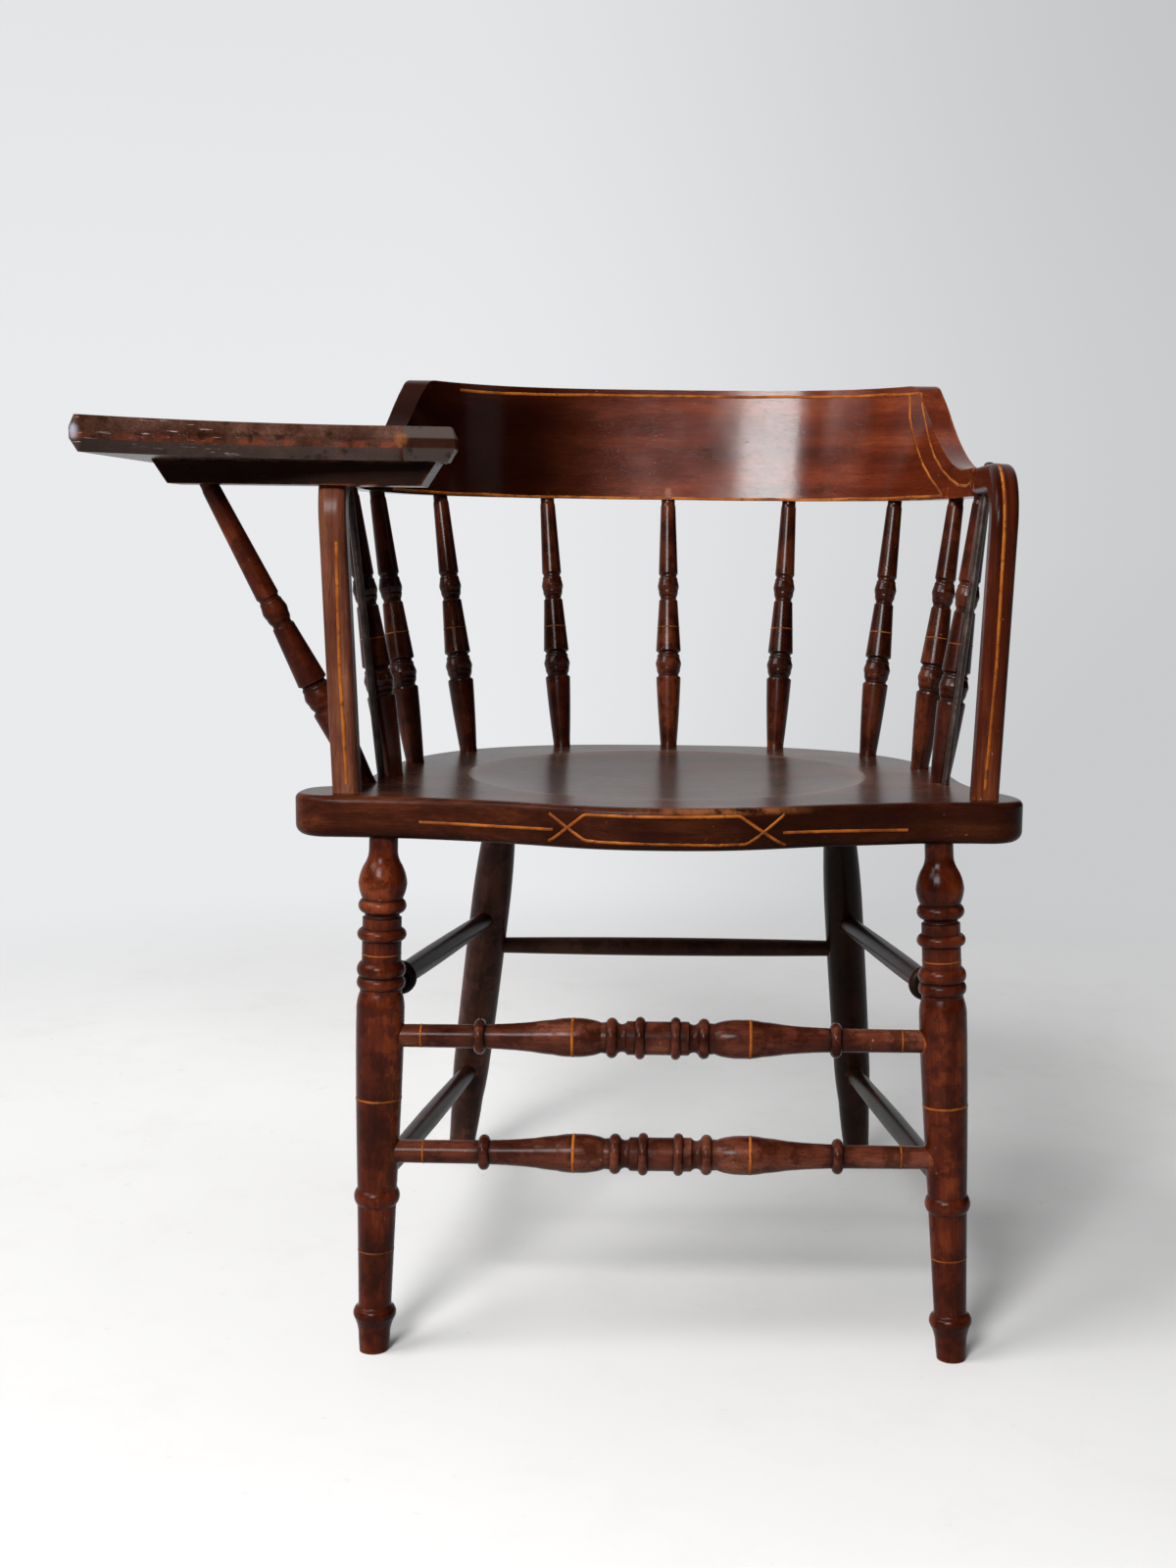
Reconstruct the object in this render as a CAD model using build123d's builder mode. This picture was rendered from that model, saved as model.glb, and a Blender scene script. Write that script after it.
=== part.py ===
"""Writing-arm Windsor chair: plank seat, turned legs and spindles, bent crest and arms, writing tablet."""
import os
from math import atan, cos, degrees, radians, sin, sqrt, tan

from build123d import *

# Millimetres. X runs to the sitter's left, Y to the back, Z up from the floor.
# Plan positions are measured from the chair's middle plane and from the line of the front leg joints.

# Seat plank
seat_top_z = 438.0
seat_thickness = 32.0
seat_front_y = -65.0
seat_back_y = 368.0
seat_half_width = {"right": 281.0, "left": 271.5}
seat_waist_half_width = 240.0
seat_waist_y = 105.0
seat_corner_y = -16.0
seat_corner_radius = 27.0
# Points of the outline from the middle out: x, and distance behind the point of the front edge
seat_front_curve = ((60.0, 7.0), (112.0, 25.0), (172.0, 41.0))
# Points of the outline behind each front corner: x and y
seat_side_curve = ((259.0, 48.0), (246.0, 80.0))
seat_upper_arris = 5.0
seat_lower_arris = 8.0
dish_centre_y = 150.0
dish_radius = 165.0
dish_depth = 9.0

# Legs: where each axis meets the floor and the underside of the seat, on the sitter's right and left
front_foot = {"right": (224.0, -2.0), "left": (227.0, -9.0)}
front_joint = {"right": (213.0, 0.0), "left": (207.0, 0.0)}
rear_foot = {"right": (209.5, 456.0), "left": (197.0, 456.0)}
rear_joint = {"right": (149.0, 300.0), "left": (155.0, 300.0)}
leg_tenon_length = 24.0

# Stretchers: height of each end on the leg axes
front_stretcher_z = {"upper": 251.5, "lower": 160.0}
side_stretcher_front_z = {"upper": 287.0, "lower": 138.0}
side_stretcher_rear_z = {"upper": 272.5, "lower": 106.0}
rear_stretcher_z = 243.5
front_stretcher_offset = {"upper": -3.0, "lower": -1.0}

# Back: the U-shaped lines on which the spindles stand and the crest lies
spindle_line_half_width = 221.0
spindle_line_front_y = 105.0
spindle_line_back_y = 349.0
crest_bottom_half_width = 253.0
crest_bottom_back_y = 395.0
crest_top_half_width = {"right": 258.0, "left": 267.0}
crest_top_back_y = 414.0
crest_thickness = 17.0
crest_top_z = 771.0
crest_line_front_y = 115.0
spindle_angles = (90.0, 72.4, 42.0, 13.8, 0.0)
spindle_tenon_length = 18.0
spindle_head_tenon_length = 9.0
crest_offset = -3.0

# Arms: bent square stock, tenoned into the seat and butted to the crest
arm_top_z = 691.0
arm_thickness = 23.0
arm_width = 20.5
arm_foot_x = 242.0
arm_front_y = 0.5
arm_lean = 2.2
arm_splay = 1.0
arm_bend_radius = 50.0
arm_joint_y = 132.0
arm_arris = 6.0
arm_tenon_diameter = 17.0
arm_tenon_length = 24.0

# Ogee that brings the crest down to the arms, seen from the side: a hollow, then a straight slope
ogee_start_y = 176.0
ogee_run = 146.27
ogee_hollow_share = 0.5858
ogee_corner_radius = 16.0

# Iron tie rods from the arms down through the seat
rod_diameter = 6.2
rod_foot = {"right": (225.0, 89.0), "left": (220.0, 89.0)}
rod_head = {"right": (254.5, 91.0), "left": (251.5, 91.0)}
rod_head_diameter = 9.4
rod_head_height = 3.4
rod_head_recess = 1.2
rod_tail = 12.0
washer_diameter = 18.0
washer_thickness = 1.6
nut_width = 11.0
nut_thickness = 5.0

# Writing tablet, its batten and the brace below it, all on the sitter's right
arm_planed_depth = 6.0
tablet_thickness = 25.0
tablet_outer_x = -407.0
tablet_inner_x = -156.0
tablet_front_y = -123.0
tablet_nose = (-194.0, -23.0)
tablet_front_hollow = (-298.0, -44.0)
tablet_nose_rise = 6.0
tablet_inner_edge = ((-160.0, 26.0), (-184.0, 66.0), (-226.0, 96.0), (-276.0, 124.0), (-306.0, 166.0))
tablet_tail_radius = 48.0
tablet_tail_y = 150.0
tablet_upper_bevel = (3.5, 8.5)
tablet_lower_bevel = (5.5, 9.0)
tablet_corner_radius = 6.0
tablet_flat_end_y = 124.0
batten_thickness = 17.5
batten_width = 40.0
batten_front_y = 1.0
batten_outer_x = -382.0
batten_inner_x = -172.0
batten_end_cut = 11.5
brace_head = (-345.0, 22.0)
brace_foot = (-237.0, 64.0)
brace_tenon_length = 12.0
screw_diameter = 4.0
screw_head_diameter = 8.0
screw_length = 28.0
batten_screws_x = (-368.0, -304.0, -196.0)
arm_screw_y = 66.0
dowel_diameter = 5.0
dowel_length = 40.0
dowel_below_top = 9.5

# Fits
socket_clearance = 0.1
socket_end_gap = 0.5
body_clearance = 0.3
through_reach = 60.0

seat_bottom_z = seat_top_z - seat_thickness
crest_bottom_z = arm_top_z - arm_thickness
tablet_bottom_z = arm_top_z - arm_planed_depth
sides = {"right": -1, "left": 1}

# The origin is on the floor below the middle of the chair's outer box, which runs from the
# tablet's rounded corner to the rear feet and from the tablet's outer edge to the seat's left edge.
box_front_y = -113.33
box_back_y = 468.45
middle_x = -(tablet_outer_x + seat_half_width["left"]) / 2
front_line_y = -(box_front_y + box_back_y) / 2


def at(x, y, z):
    """Point x from the middle plane, y behind the front leg line and z above the floor."""
    return Vector(x + middle_x, y + front_line_y, z)


def between(start, end, z):
    """Point at height z on the line through start and end."""
    return start + (end - start) * ((z - start.Z) / (end.Z - start.Z))


def u_point(half_width, front_y, back_y, angle, roundness=3.0):
    """Point on a squared half-ellipse: angle 0 is the left end, 90 the middle of the back."""
    reach = abs(cos(radians(angle))) ** (2 / roundness)
    depth = sin(radians(angle)) ** (2 / roundness)
    if angle > 90:
        reach = -reach
    return (half_width * reach, front_y + (back_y - front_y) * depth)


def turned(foot, head, start_diameter, steps):
    """Turning from foot to head. A step is (length, end diameter, bulge); length None takes what is left."""
    axis = head - foot
    spare = axis.length - sum(length for length, _, _ in steps if length is not None)
    radial = Vector(0, 0, 1).cross(axis).normalized()
    with BuildPart() as piece:
        with BuildSketch(Plane(origin=foot, x_dir=radial, z_dir=radial.cross(axis))):
            with BuildLine():
                point = (start_diameter / 2, 0)
                Line((0, 0), point)
                for length, diameter, bulge in steps:
                    rise = spare if length is None else length
                    end = (diameter / 2, point[1] + rise)
                    if bulge:
                        belly = ((point[0] + end[0]) / 2 + bulge, point[1] + rise / 2)
                        ThreePointArc(point, belly, end)
                    else:
                        Line(point, end)
                    point = end
                Line(point, (0, point[1]))
                Line((0, point[1]), (0, 0))
            make_face()
        revolve(axis=Axis(foot, axis))
    return piece.part


def drill(start, end, diameter):
    """Cut a round hole from start to end in the part being built."""
    axis = end - start
    with Locations(Plane(origin=start, z_dir=axis).location):
        Cylinder(diameter / 2, axis.length, align=(Align.CENTER, Align.CENTER, Align.MIN), mode=Mode.SUBTRACT)


def socket(tip, mouth, tenon_diameter, reach):
    """Cut the socket of a round tenon that ends at tip and leaves towards mouth, reach long."""
    way = (mouth - tip).normalized()
    drill(tip - way * socket_end_gap, tip + way * reach, tenon_diameter + 2 * socket_clearance)


def save(piece, label):
    """Label a finished piece and write it as its own STEP file."""
    piece.part.label = label
    export_step(piece.part, f"parts/{label}.step")


os.makedirs("parts", exist_ok=True)

# ---------------------------------------------------------------- where the turned pieces run

leg_axes = {}
for side, sign in sides.items():
    for place, foot, joint in (("front", front_foot, front_joint), ("rear", rear_foot, rear_joint)):
        leg_axes[place, side] = (at(sign * foot[side][0], foot[side][1], 0),
                                 at(sign * joint[side][0], joint[side][1], seat_bottom_z))

front_leg_tenon_diameter = 21.6
rear_leg_tenon_diameter = 24.0


def leg_tip(place, side):
    """End of the leg's tenon inside the seat."""
    foot, joint = leg_axes[place, side]
    return joint + (joint - foot).normalized() * leg_tenon_length


# Each stretcher runs from leg axis to leg axis: name, start, end, diameter at its ends
leg_socket_depth = 20.0
stretcher_end_diameter = 17.6
side_stretcher_end_diameter = 15.6
rear_stretcher_end_diameter = 15.0
stretchers = {}
for level in ("upper", "lower"):
    ends = [between(*leg_axes["front", side], front_stretcher_z[level]) for side in sides]
    stretchers[f"front_stretcher_{level}"] = (*ends, stretcher_end_diameter,
                                              ("front", "right"), ("front", "left"))
    for side in sides:
        start = between(*leg_axes["front", side], side_stretcher_front_z[level])
        end = between(*leg_axes["rear", side], side_stretcher_rear_z[level])
        stretchers[f"side_stretcher_{level}_{side}"] = (start, end, side_stretcher_end_diameter,
                                                       ("front", side), ("rear", side))
ends = [between(*leg_axes["rear", side], rear_stretcher_z) for side in sides]
stretchers["rear_stretcher"] = (*ends, rear_stretcher_end_diameter, ("rear", "right"), ("rear", "left"))

# Each spindle: foot on the seat, head on the underside of the crest or arm
spindle_foot_diameter = 15.6
spindle_head_diameter = 12.8
spindles = {}
for number, angle in enumerate(spindle_angles):
    for side, sign in sides.items():
        if number == 0 and side == "left":
            continue
        name = "spindle_centre" if number == 0 else f"spindle_{side}_{number}"
        foot_x, foot_y = u_point(spindle_line_half_width, spindle_line_front_y, spindle_line_back_y, angle)
        head_x, head_y = u_point(crest_bottom_half_width, crest_line_front_y, crest_bottom_back_y, angle)
        spindles[name] = (at(sign * foot_x, foot_y, seat_top_z),
                          at(sign * head_x + crest_offset, head_y, crest_bottom_z))


def spindle_tips(name):
    """Ends of a spindle's tenons, in the seat and in the crest or arm."""
    foot, head = spindles[name]
    way = (head - foot).normalized()
    return foot - way * spindle_tenon_length, head + way * spindle_head_tenon_length


brace_bottom = at(*brace_foot, seat_top_z)
brace_top = at(*brace_head, tablet_bottom_z - batten_thickness)
brace_way = (brace_top - brace_bottom).normalized()
brace_tips = (brace_bottom - brace_way * spindle_tenon_length, brace_top + brace_way * brace_tenon_length)

arm_planes = {}
dowel_middles = {}
for side, sign in sides.items():
    lean = radians(arm_lean)
    splay = radians(arm_splay)
    backward = Vector(sign * sin(splay), cos(splay), 0)
    across = Vector(cos(lean) * cos(splay), -sign * cos(lean) * sin(splay), -sign * sin(lean))
    plane = Plane(origin=at(sign * arm_foot_x, 0, seat_top_z), x_dir=backward, z_dir=across)
    arm_planes[side] = plane
    dowel_middles[side] = plane.from_local_coords((arm_joint_y, arm_top_z - dowel_below_top - seat_top_z, 0))

arm_crown_z = {"right": tablet_bottom_z, "left": arm_top_z}
rod_axes = {}
for side, sign in sides.items():
    low = at(sign * rod_foot[side][0], rod_foot[side][1], seat_bottom_z)
    high = at(sign * rod_head[side][0], rod_head[side][1], arm_top_z)
    rod_axes[side] = (low, between(low, high, arm_crown_z[side]))

# The rod's head sits in a recess: a deep one below the tablet, a shallow one on the open arm
head_recess = {"right": rod_head_height + 1.2, "left": rod_head_recess}


def rod_stations(side):
    """Points along a tie rod: tip, washer face, and underside of the head."""
    low, high = rod_axes[side]
    way = (high - low).normalized()
    washer_face = low + way * (washer_thickness + 1.0)
    return washer_face - way * rod_tail, washer_face, high - way * head_recess[side], way


def post_axis(side):
    """Foot of the arm's post on the seat, and the way the post rises."""
    plane = arm_planes[side]
    return plane.from_local_coords((arm_front_y + arm_thickness / 2, 0, 0)), plane.y_dir


# ---------------------------------------------------------------- seat

with BuildPart() as seat:
    with BuildSketch(Plane(at(0, 0, seat_bottom_z))):
        with BuildLine():
            left_front_points = [(x, seat_front_y + y) for x, y in seat_front_curve]
            right_front_points = [(-x, y) for x, y in reversed(left_front_points)]
            front_points = right_front_points + [(0, seat_front_y)] + left_front_points
            corner_ends = []
            for side, sign in sides.items():
                width = seat_half_width[side]
                cut = seat_corner_radius * (1 - sin(radians(45)))
                arc = ThreePointArc((sign * (width - seat_corner_radius), seat_corner_y),
                                    (sign * (width - cut), seat_corner_y + cut),
                                    (sign * width, seat_corner_y + seat_corner_radius))
                corner_ends.append((arc @ 0, arc @ 1))
            (right_front, right_side), (left_front, left_side) = corner_ends
            Spline([right_front] + front_points + [left_front], tangents=((1, 0), (1, 0)))
            left_half = list(seat_side_curve)
            left_half += [u_point(seat_waist_half_width, seat_waist_y, seat_back_y, angle, 2.7)
                          for angle in (8, 22, 38, 52, 68)]
            right_half = [(-x, y) for x, y in reversed(left_half)]
            Spline([left_side] + left_half + [(0, seat_back_y)] + right_half + [right_side],
                   tangents=((0, 1), (0, -1)))
        make_face()
    extrude(amount=seat_thickness)
    fillet(seat.faces().sort_by(Axis.Z)[-1].edges(), seat_upper_arris)
    fillet(seat.faces().sort_by(Axis.Z)[0].edges(), seat_lower_arris)
    dish_ball = (dish_radius ** 2 + dish_depth ** 2) / (2 * dish_depth)
    with Locations(at(0, dish_centre_y, seat_top_z - dish_depth + dish_ball)):
        Sphere(dish_ball, mode=Mode.SUBTRACT)
    for side, sign in sides.items():
        socket(leg_tip("front", side), leg_axes["front", side][0], front_leg_tenon_diameter, through_reach)
        socket(leg_tip("rear", side), leg_axes["rear", side][0], rear_leg_tenon_diameter, through_reach)
        post_foot, post_way = post_axis(side)
        socket(post_foot - post_way * arm_tenon_length, post_foot, arm_tenon_diameter, through_reach)
        tip, washer_face, shoulder, way = rod_stations(side)
        drill(tip, shoulder, rod_diameter + 2 * socket_clearance)
        drill(washer_face - way * 20, washer_face, washer_diameter + 2 * socket_clearance)
    for name in spindles:
        socket(spindle_tips(name)[0], spindles[name][1], spindle_foot_diameter, through_reach)
    socket(brace_tips[0], brace_top, spindle_foot_diameter, through_reach)
save(seat, "seat")

# ---------------------------------------------------------------- legs

# Front leg from the floor up: pear foot, long shaft with a ring, four rings and a vase below the seat
front_leg_steps = (
    (13, 24.4, 0), (16, 31.2, -1.0), (8, 30.0, 1.3), (3, 25.4, -0.6), (80, 29.8, 0),
    (13, 30.3, 2.6), (None, 36.6, 0.4), (18, 36.6, 0), (12, 31.8, 0.5), (2.5, 32.0, 0),
    (9.5, 32.6, 2.3), (12, 29.8, 2.9), (16, 29.8, 0), (9.5, 29.6, 3.8), (8, 29.6, 0),
    (4, 29.6, -1.8), (10.5, 30.3, 3.2), (12, 36.8, 0.6), (14, 28.8, 0.8), (12, 21.8, -1.0),
    (10 + leg_tenon_length, front_leg_tenon_diameter, 0))
# Rear leg: plain, swelled above the foot and drawn in below the seat
rear_leg_steps = (
    (32, 26.5, 0), (50, 30.6, 0.3), (50, 35.4, 0.6), (None, 36.0, 0.4), (72, 29.4, 0.6),
    (42, rear_leg_tenon_diameter, 0), (6 + leg_tenon_length, rear_leg_tenon_diameter, 0))
leg_turnings = {"front": (22.4, front_leg_steps), "rear": (25.0, rear_leg_steps)}
below_floor = 2.0

for place, (foot_diameter, steps) in leg_turnings.items():
    for side in sides:
        foot, joint = leg_axes[place, side]
        start = between(foot, joint, -below_floor)
        with BuildPart() as leg:
            add(turned(start, leg_tip(place, side), foot_diameter, steps))
            split(bisect_by=Plane.XY, keep=Keep.TOP)
            for start, end, diameter, start_leg, end_leg in stretchers.values():
                if start_leg == (place, side):
                    socket(start, end, diameter, through_reach / 2)
                if end_leg == (place, side):
                    socket(end, start, diameter, through_reach / 2)
        save(leg, f"{place}_leg_{side}")

# ---------------------------------------------------------------- stretchers

# Half a front stretcher from the middle out: lengths, diameters and bulges
front_stretcher_half = (
    (9.8, 25.7, 0), (7.6, 26.0, 3.4), (6.1, 26.0, 0), (7.5, 25.0, -2.1), (8.5, 24.0, 3.3),
    (3.9, 23.4, 0), (8.1, 28.0, 0.3), (13.5, 29.8, 0.4), (15.0, 27.0, 0.5), (17.0, 22.8, 0.2),
    (33.0, 18.6, -0.3), (2.0, 18.4, 0), (8.5, 18.2, 4.5))


def mirrored_steps(half, middle_diameter, end_diameter):
    """Steps of a turning that is the same from both ends, with plain stretches at the ends."""
    diameters = [middle_diameter] + [diameter for _, diameter, _ in half]
    inward = [(half[i][0], diameters[i], half[i][2]) for i in reversed(range(len(half)))]
    return inward + list(half) + [(None, end_diameter, 0), (leg_socket_depth, end_diameter, 0)]


for level in ("upper", "lower"):
    name = f"front_stretcher_{level}"
    start, end, diameter = stretchers[name][:3]
    half_length = sum(length for length, _, _ in front_stretcher_half)
    end_length = (end - start).length / 2 - half_length + front_stretcher_offset[level]
    steps = [(leg_socket_depth, diameter, 0),
             (end_length - leg_socket_depth, front_stretcher_half[-1][1], 0)]
    steps += mirrored_steps(front_stretcher_half, front_stretcher_half[0][1], diameter)
    with BuildPart() as stretcher:
        add(turned(start, end, diameter, steps))
    save(stretcher, name)

side_collar_from_leg = 47.0
side_collar_length = 9.0
for side in sides:
    start, end, diameter = stretchers[f"side_stretcher_upper_{side}"][:3]
    steps = [(leg_socket_depth, diameter, 0), (side_collar_from_leg - leg_socket_depth, 16.8, 0),
             (side_collar_length, 16.8, 5.4), (90, 18.2, 0.2), (None, diameter, 0.3),
             (leg_socket_depth, diameter, 0)]
    with BuildPart() as stretcher:
        add(turned(start, end, diameter, steps))
    save(stretcher, f"side_stretcher_upper_{side}")

plain_stretchers = {"rear_stretcher": 17.6}
for side in sides:
    plain_stretchers[f"side_stretcher_lower_{side}"] = 18.6
for name, belly_diameter in plain_stretchers.items():
    start, end, diameter = stretchers[name][:3]
    half_length = (end - start).length / 2
    steps = [(leg_socket_depth, diameter, 0), (half_length - leg_socket_depth, belly_diameter, 0.3),
             (None, diameter, 0.3), (leg_socket_depth, diameter, 0)]
    with BuildPart() as stretcher:
        add(turned(start, end, diameter, steps))
    save(stretcher, name)

# ---------------------------------------------------------------- spindles and brace

# From the seat up: three tapered lengths parted by two sharp beads with a small ring on each side
spindle_steps = (
    (spindle_tenon_length + 4, spindle_foot_diameter, 0), (60, 23.0, 0.3), (1.4, 22.6, 0), (1.4, 18.8, 0),
    (1.6, 19.2, 0), (5.6, 22.2, 0.5), (4.4, 24.2, 0.1), (5.6, 21.0, 0.1), (3.5, 19.0, 0.6), (1.2, 18.8, 0),
    (1.8, 23.4, 0), (47.5, 17.4, 0), (1.5, 15.0, 0), (2.0, 15.2, 0), (5.5, 18.0, 0.5), (4.5, 20.0, 0.1),
    (6.0, 17.6, 0.1), (3.0, 15.6, 0.4), (1.5, 15.6, 0), (2.0, 18.0, 0), (None, 14.0, 0),
    (3.0, spindle_head_diameter, 0), (brace_tenon_length + 1, spindle_head_diameter, 0))

for name in spindles:
    with BuildPart() as spindle:
        add(turned(*spindle_tips(name), spindle_foot_diameter, spindle_steps))
    save(spindle, name)

with BuildPart() as brace:
    add(turned(*brace_tips, spindle_foot_diameter, spindle_steps))
save(brace, "tablet_brace")

# ---------------------------------------------------------------- crest rail

crest_angles = (0, 12, 28, 45, 62, 78, 90, 102, 118, 135, 152, 168, 180)


def crest_band(half_widths, back_y):
    """Closed outline of the crest in plan: two U-shaped curves and two square ends."""
    with BuildLine() as outline:
        curves = []
        for offset in (-crest_thickness / 2, crest_thickness / 2):
            points = [u_point(half_widths["left" if angle < 90 else "right"] + offset,
                              crest_line_front_y, back_y + offset, angle) for angle in crest_angles]
            curves.append(Spline(points, tangents=((0, 1), (0, -1))))
        Line(curves[0] @ 0, curves[1] @ 0)
        Line(curves[0] @ 1, curves[1] @ 1)
    return outline.line


# The hollow takes its share of the rise, and the slope runs on at the angle at which the hollow ends
ogee_rise = crest_top_z - arm_top_z
steepness = ogee_run / ogee_rise
half_slope = atan((sqrt(steepness ** 2 + 1 - ogee_hollow_share ** 2) - steepness) / (1 - ogee_hollow_share))
hollow_radius = ogee_rise * ogee_hollow_share / (1 - cos(2 * half_slope))
slope_length = ogee_rise * (1 - ogee_hollow_share) / sin(2 * half_slope)
ogee_top_y = ogee_start_y + ogee_run
# The rounded top corner stays within half of the slope
corner_limit = slope_length / tan(half_slope) / 2

with BuildPart() as crest_rail:
    bottom_half_width = dict.fromkeys(sides, crest_bottom_half_width)
    for height, half_widths, back_y in ((crest_bottom_z, bottom_half_width, crest_bottom_back_y),
                                        (crest_top_z, crest_top_half_width, crest_top_back_y)):
        with BuildSketch(Plane(at(crest_offset, 0, height))):
            add(crest_band(half_widths, back_y))
            make_face()
    loft()
    split(bisect_by=Plane(origin=at(0, arm_joint_y, 0), z_dir=(0, 1, 0)), keep=Keep.TOP)
    with BuildSketch(Plane(origin=at(0, 0, 0), x_dir=(0, 1, 0), z_dir=(1, 0, 0))) as above_ogee:
        with BuildLine():
            Line((arm_joint_y - 1, crest_top_z + 20), (arm_joint_y - 1, arm_top_z))
            Line((arm_joint_y - 1, arm_top_z), (ogee_start_y, arm_top_z))
            hollow = JernArc((ogee_start_y, arm_top_z), (1, 0), hollow_radius, degrees(2 * half_slope))
            Line(hollow @ 1, (ogee_top_y, crest_top_z))
            Line((ogee_top_y, crest_top_z), (crest_top_back_y + 40, crest_top_z))
            Line((crest_top_back_y + 40, crest_top_z), (crest_top_back_y + 40, crest_top_z + 20))
            Line((crest_top_back_y + 40, crest_top_z + 20), (arm_joint_y - 1, crest_top_z + 20))
        make_face()
        top_corner = above_ogee.vertices().sort_by_distance((ogee_top_y, crest_top_z, 0))[0]
        fillet(top_corner, min(ogee_corner_radius, corner_limit))
    extrude(above_ogee.sketch, amount=2 * crest_bottom_half_width, both=True, mode=Mode.SUBTRACT)
    for name in spindles:
        socket(spindle_tips(name)[1], spindles[name][0], spindle_head_diameter, 40)
    for middle in dowel_middles.values():
        drill(middle - Vector(0, 5, 0), middle + Vector(0, dowel_length / 2 + socket_end_gap, 0),
              dowel_diameter + 2 * socket_clearance)
save(crest_rail, "crest_rail")

# ---------------------------------------------------------------- arms

arm_screw_head = arm_planes["right"].from_local_coords((arm_screw_y, crest_bottom_z - seat_top_z, 0))


def arm_blank(side, grow):
    """Bent arm stock, made larger by grow all round where another piece is cut to clear it."""
    plane = arm_planes[side]
    front = arm_front_y - grow
    back = arm_front_y + arm_thickness + grow
    top = (arm_top_z - seat_top_z) / cos(radians(arm_lean)) + grow
    under = top - arm_thickness - 2 * grow
    outer = arm_bend_radius + grow
    inner = arm_bend_radius - arm_thickness - grow
    end = arm_joint_y
    with BuildPart() as blank:
        with BuildSketch(plane):
            with BuildLine():
                Line((front, -2), (front, top - outer))
                RadiusArc((front, top - outer), (front + outer, top), outer)
                Line((front + outer, top), (end, top))
                Line((end, top), (end, under))
                Line((end, under), (back + inner, under))
                RadiusArc((back + inner, under), (back, under - inner), -inner)
                Line((back, under - inner), (back, -2))
                Line((back, -2), (front, -2))
            make_face()
        extrude(amount=arm_width / 2 + grow, both=True)
        long_edges = [edge for edge in blank.edges()
                      if abs((edge.center() - plane.origin).dot(plane.z_dir)) > arm_width / 2 - 0.1
                      and edge.center().Y < at(0, end - 1, 0).Y and edge.center().Z > seat_top_z]
        fillet(long_edges, arm_arris)
    return blank.part


for side, sign in sides.items():
    post_foot, post_way = post_axis(side)
    tip, washer_face, shoulder, way = rod_stations(side)
    with BuildPart() as arm:
        add(arm_blank(side, 0))
        split(bisect_by=Plane(at(0, 0, seat_top_z)), keep=Keep.TOP)
        with Locations(Plane(origin=post_foot - post_way * arm_tenon_length, z_dir=post_way).location):
            Cylinder(arm_tenon_diameter / 2, arm_tenon_length + 6,
                     align=(Align.CENTER, Align.CENTER, Align.MIN))
        if side == "right":
            with Locations(at(sign * arm_foot_x, tablet_flat_end_y, tablet_bottom_z)):
                Box(3 * arm_width, 2 * tablet_flat_end_y, 30, align=(Align.CENTER, Align.MAX, Align.MIN),
                    mode=Mode.SUBTRACT)
            drill(arm_screw_head - Vector(0, 0, 5), arm_screw_head + Vector(0, 0, through_reach),
                  screw_diameter + 2 * socket_clearance)
            with Locations(arm_screw_head + Vector(0, 0, 1.2)):
                Cone(screw_head_diameter / 2 + 1.2 + socket_clearance,
                     screw_diameter / 2 + socket_clearance, 3.2,
                     align=(Align.CENTER, Align.CENTER, Align.CENTER), mode=Mode.SUBTRACT)
        drill(tip, shoulder + way * 30, rod_diameter + 2 * socket_clearance)
        drill(shoulder, shoulder + way * 30, rod_head_diameter + 2 * socket_clearance)
        last_spindle = f"spindle_{side}_4"
        socket(spindle_tips(last_spindle)[1], spindles[last_spindle][0], spindle_head_diameter, 40)
        middle = dowel_middles[side]
        drill(middle - Vector(0, dowel_length / 2 + socket_end_gap, 0), middle + Vector(0, 5, 0),
              dowel_diameter + 2 * socket_clearance)
    save(arm, f"arm_{side}")

with BuildPart() as crest_dowels:
    with Locations(*dowel_middles.values()):
        Cylinder(dowel_diameter / 2, dowel_length, rotation=(90, 0, 0))
save(crest_dowels, "crest_dowels")

# ---------------------------------------------------------------- iron tie rods

with BuildPart() as tie_rod_washers:
    for side in sides:
        tip, washer_face, shoulder, way = rod_stations(side)
        with Locations(Plane(origin=washer_face, z_dir=way).location):
            Cylinder(washer_diameter / 2, washer_thickness, align=(Align.CENTER, Align.CENTER, Align.MAX))
            Hole(rod_diameter / 2 + socket_clearance)
save(tie_rod_washers, "tie_rod_washers")

with BuildPart() as tie_rod_nuts:
    for side in sides:
        tip, washer_face, shoulder, way = rod_stations(side)
        with Locations(Plane(origin=washer_face - way * washer_thickness, z_dir=way).location):
            Box(nut_width, nut_width, nut_thickness, align=(Align.CENTER, Align.CENTER, Align.MAX))
            Hole(rod_diameter / 2 + socket_clearance)
save(tie_rod_nuts, "tie_rod_nuts")

for side in sides:
    tip, washer_face, shoulder, way = rod_stations(side)
    with BuildPart() as tie_rod:
        head_steps = ((0.9, rod_diameter, 0), (None, rod_diameter, 0), (0, rod_head_diameter, 0),
                      (rod_head_recess, rod_head_diameter, 0), (rod_head_height - 0.6, 3.0, 0.9))
        crown = shoulder + way * (rod_head_recess + rod_head_height - 0.6)
        add(turned(tip, crown, rod_diameter - 1, head_steps))
    save(tie_rod, f"tie_rod_{side}")

# ---------------------------------------------------------------- tablet, batten and screws

screw_heads = [at(x, batten_front_y + batten_width / 2, tablet_bottom_z - batten_thickness)
               for x in batten_screws_x]

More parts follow.
